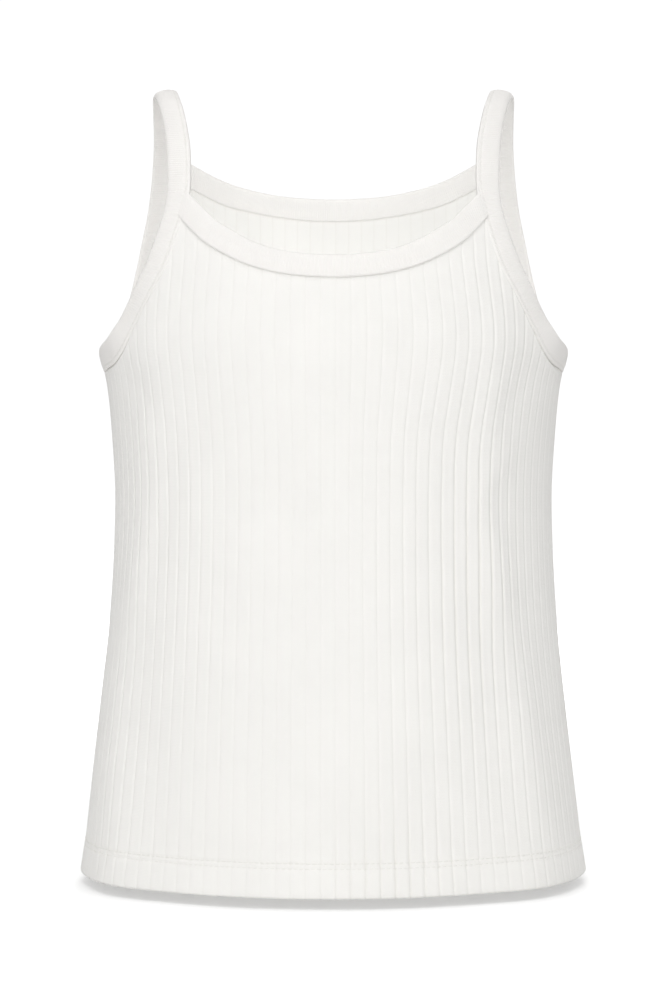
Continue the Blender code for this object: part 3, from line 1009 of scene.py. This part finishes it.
def dress():
    """Every piece of the garment, riding on its one body."""
    for side, neck, width, length, area in (
        ("front", neck_front, 0.357, 0.348, 0.1015),
        ("back", neck_back, 0.351, 0.384, 0.1095),
    ):
        cloth = panel_piece(f"{side}_panel_cloth", side, neck)
        hem = hem_stitches(f"{side}_hem_stitches", side)
        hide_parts(f"{side}_panel")
        outward(cloth)
        outward(hem)
    for side, band in (("front", neck_front), ("back", neck_back)):
        cloth = band_piece(f"neck_band_{side}_cloth", band, 1, "strap")
        sewing = band_stitches(f"neck_{side}_topstitch", band, 1, 2.0)
        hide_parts(f"neck_band_{side}")
        outward(cloth)
        outward(sewing)
    for name, mirror in (("left", 1), ("right", -1)):
        cloth = band_piece(f"strap_{name}_cloth", strap, mirror, "side")
        sewing = band_stitches(f"strap_{name}_topstitch", strap, mirror, 1.0)
        seam = side_seam_piece(f"side_seam_{name}", mirror)
        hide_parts(f"strap_{name}")
        for piece in (cloth, sewing, seam):
            outward(piece)


# ------------------------------------------------------------ studio stage

VIEW_HEIGHT = -212.5 * MM   # the camera is level with this height
VIEW_DISTANCE = 1.2
VIEW_X = 1.3 * MM
LENS = 82.4
SENSOR = 36.0
FLOOR_DROP = 5.5 * MM   # the top hangs by its straps, just off the floor
FLOOR_RADIUS = 9.0
FLOOR_GLOW = 0.35       # near the hem; the floor fades to white further off
EVEN_LIGHT = 0.35       # from all round
SKY_LIGHT = 0.10        # and more from above
FRONT_LIGHT = 0.45      # and from the front
BACKDROP = 1.05         # the surroundings as the camera sees them
LAMP_SIZE = 1.1
Lamp = namedtuple("Lamp", "name place energy")
LAMPS = [
    Lamp("top_lamp", (0.0, -1.8, 1.8), 18.7),
    Lamp("left_lamp", (-1.6, -1.9, 0.2), 5.1),
    Lamp("right_lamp", (0.9, -2.3, 0.2), 4.5),
    Lamp("back_lamp", (0.25, 2.4, 0.6), 22.0),
]
INSIDE_ENERGY = 0.36
INSIDE_SIZE = 0.03
INSIDE_PLACE = (0, -0.030, -0.190)
INSIDE_TARGET = (0, 0.086, -0.064)
INSIDE_SPREAD = math.radians(130)
INSIDE_COLOUR = (0.95, 0.975, 1.0)


def floor():
    """A pale floor under the hem, clear to the camera from below."""
    clear_selection()
    bpy.ops.mesh.primitive_circle_add(
        vertices=96, radius=FLOOR_RADIUS, fill_type="NGON",
        location=(0, 0, cad_box[0].z - FLOOR_DROP))
    ground = bpy.context.active_object
    ground.name = "studio_floor"
    material = bpy.data.materials.new("studio_floor")
    material.use_nodes = True
    tree = material.node_tree
    tree.nodes.clear()
    out = tree.nodes.new("ShaderNodeOutputMaterial")
    rays = tree.nodes.new("ShaderNodeLightPath").outputs["Is Camera Ray"]
    behind = tree.nodes.new("ShaderNodeNewGeometry").outputs["Backfacing"]
    paper = add_node(tree, "ShaderNodeBsdfDiffuse", {"Color": (0.86, 0.86, 0.86, 1)})
    place = tree.nodes.new("ShaderNodeTexCoord").outputs["Object"]
    away = add_node(tree, "ShaderNodeVectorMath", {0: place}, operation="LENGTH").outputs["Value"]
    lift = add_node(tree, "ShaderNodeMapRange", {
        "Value": away, "From Min": 0.3, "From Max": 1.1,
        "To Min": FLOOR_GLOW, "To Max": 2 * FLOOR_GLOW,
    }).outputs["Result"]
    strength = math_node(tree, "MULTIPLY", rays, lift)
    glow = add_node(tree, "ShaderNodeEmission", {"Color": (1, 1, 1, 1), "Strength": strength})
    both = add_node(tree, "ShaderNodeAddShader", {0: paper.outputs[0], 1: glow.outputs[0]})
    clear = tree.nodes.new("ShaderNodeBsdfTransparent")
    hidden = math_node(tree, "MULTIPLY", rays, behind)
    mix = add_node(tree, "ShaderNodeMixShader", {0: hidden, 1: both.outputs[0], 2: clear.outputs[0]})
    tree.links.new(mix.outputs[0], out.inputs["Surface"])
    ground.data.materials.append(material)


def aimed_lamp(kind, name, place, target, energy, size):
    """A soft lamp at a place, turned to a target, both in metres."""
    clear_selection()
    bpy.ops.object.light_add(type=kind, location=place)
    lamp = bpy.context.active_object
    lamp.name = name
    lamp.data.energy = energy
    lamp.rotation_euler = (Vector(target) - lamp.location).to_track_quat("-Z", "Y").to_euler()
    if kind == "AREA":
        lamp.data.size = size
    else:
        lamp.data.shadow_soft_size = size
    return lamp


def studio_light():
    """White surroundings, soft lamps in front and behind, and a small one inside."""
    world = bpy.data.worlds.new("studio")
    bpy.context.scene.world = world
    world.use_nodes = True
    tree = world.node_tree
    back = tree.nodes["Background"]
    way = tree.nodes.new("ShaderNodeTexCoord").outputs["Generated"]
    split = add_node(tree, "ShaderNodeSeparateXYZ", {0: way})
    upward = math_node(tree, "MAXIMUM", split.outputs["Z"], 0.0)
    forward = math_node(tree, "MAXIMUM", math_node(tree, "MULTIPLY", split.outputs["Y"], -1.0), 0.0)
    sky = math_node(tree, "MULTIPLY", upward, SKY_LIGHT)
    front = math_node(tree, "MULTIPLY", forward, FRONT_LIGHT)
    rays = tree.nodes.new("ShaderNodeLightPath").outputs["Is Camera Ray"]
    light = math_node(tree, "ADD", math_node(tree, "ADD", sky, front), EVEN_LIGHT)
    strength = add_node(tree, "ShaderNodeMapRange", {
        "Value": rays, "To Min": light, "To Max": BACKDROP,
    })
    tree.links.new(strength.outputs["Result"], back.inputs["Strength"])
    back.inputs["Color"].default_value = (1, 1, 1, 1)
    for lamp in LAMPS:
        aimed_lamp("AREA", lamp.name, lamp.place, (0, 0, VIEW_HEIGHT), lamp.energy, LAMP_SIZE)
    inside = aimed_lamp(
        "SPOT", "inside_lamp", INSIDE_PLACE, INSIDE_TARGET, INSIDE_ENERGY, INSIDE_SIZE)
    inside.data.spot_size = INSIDE_SPREAD
    inside.data.spot_blend = 1.0
    inside.data.color = INSIDE_COLOUR
    inside.visible_camera = False


def camera():
    """A level camera in front of the garment."""
    clear_selection()
    bpy.ops.object.camera_add(
        location=(VIEW_X, -VIEW_DISTANCE, VIEW_HEIGHT), rotation=(math.pi / 2, 0, 0))
    view = bpy.context.active_object
    view.data.sensor_width = SENSOR
    view.data.lens = LENS
    view.data.clip_start = 0.01
    bpy.context.scene.camera = view
    bpy.context.scene.view_settings.view_transform = "Standard"


dress()
floor()
studio_light()
camera()
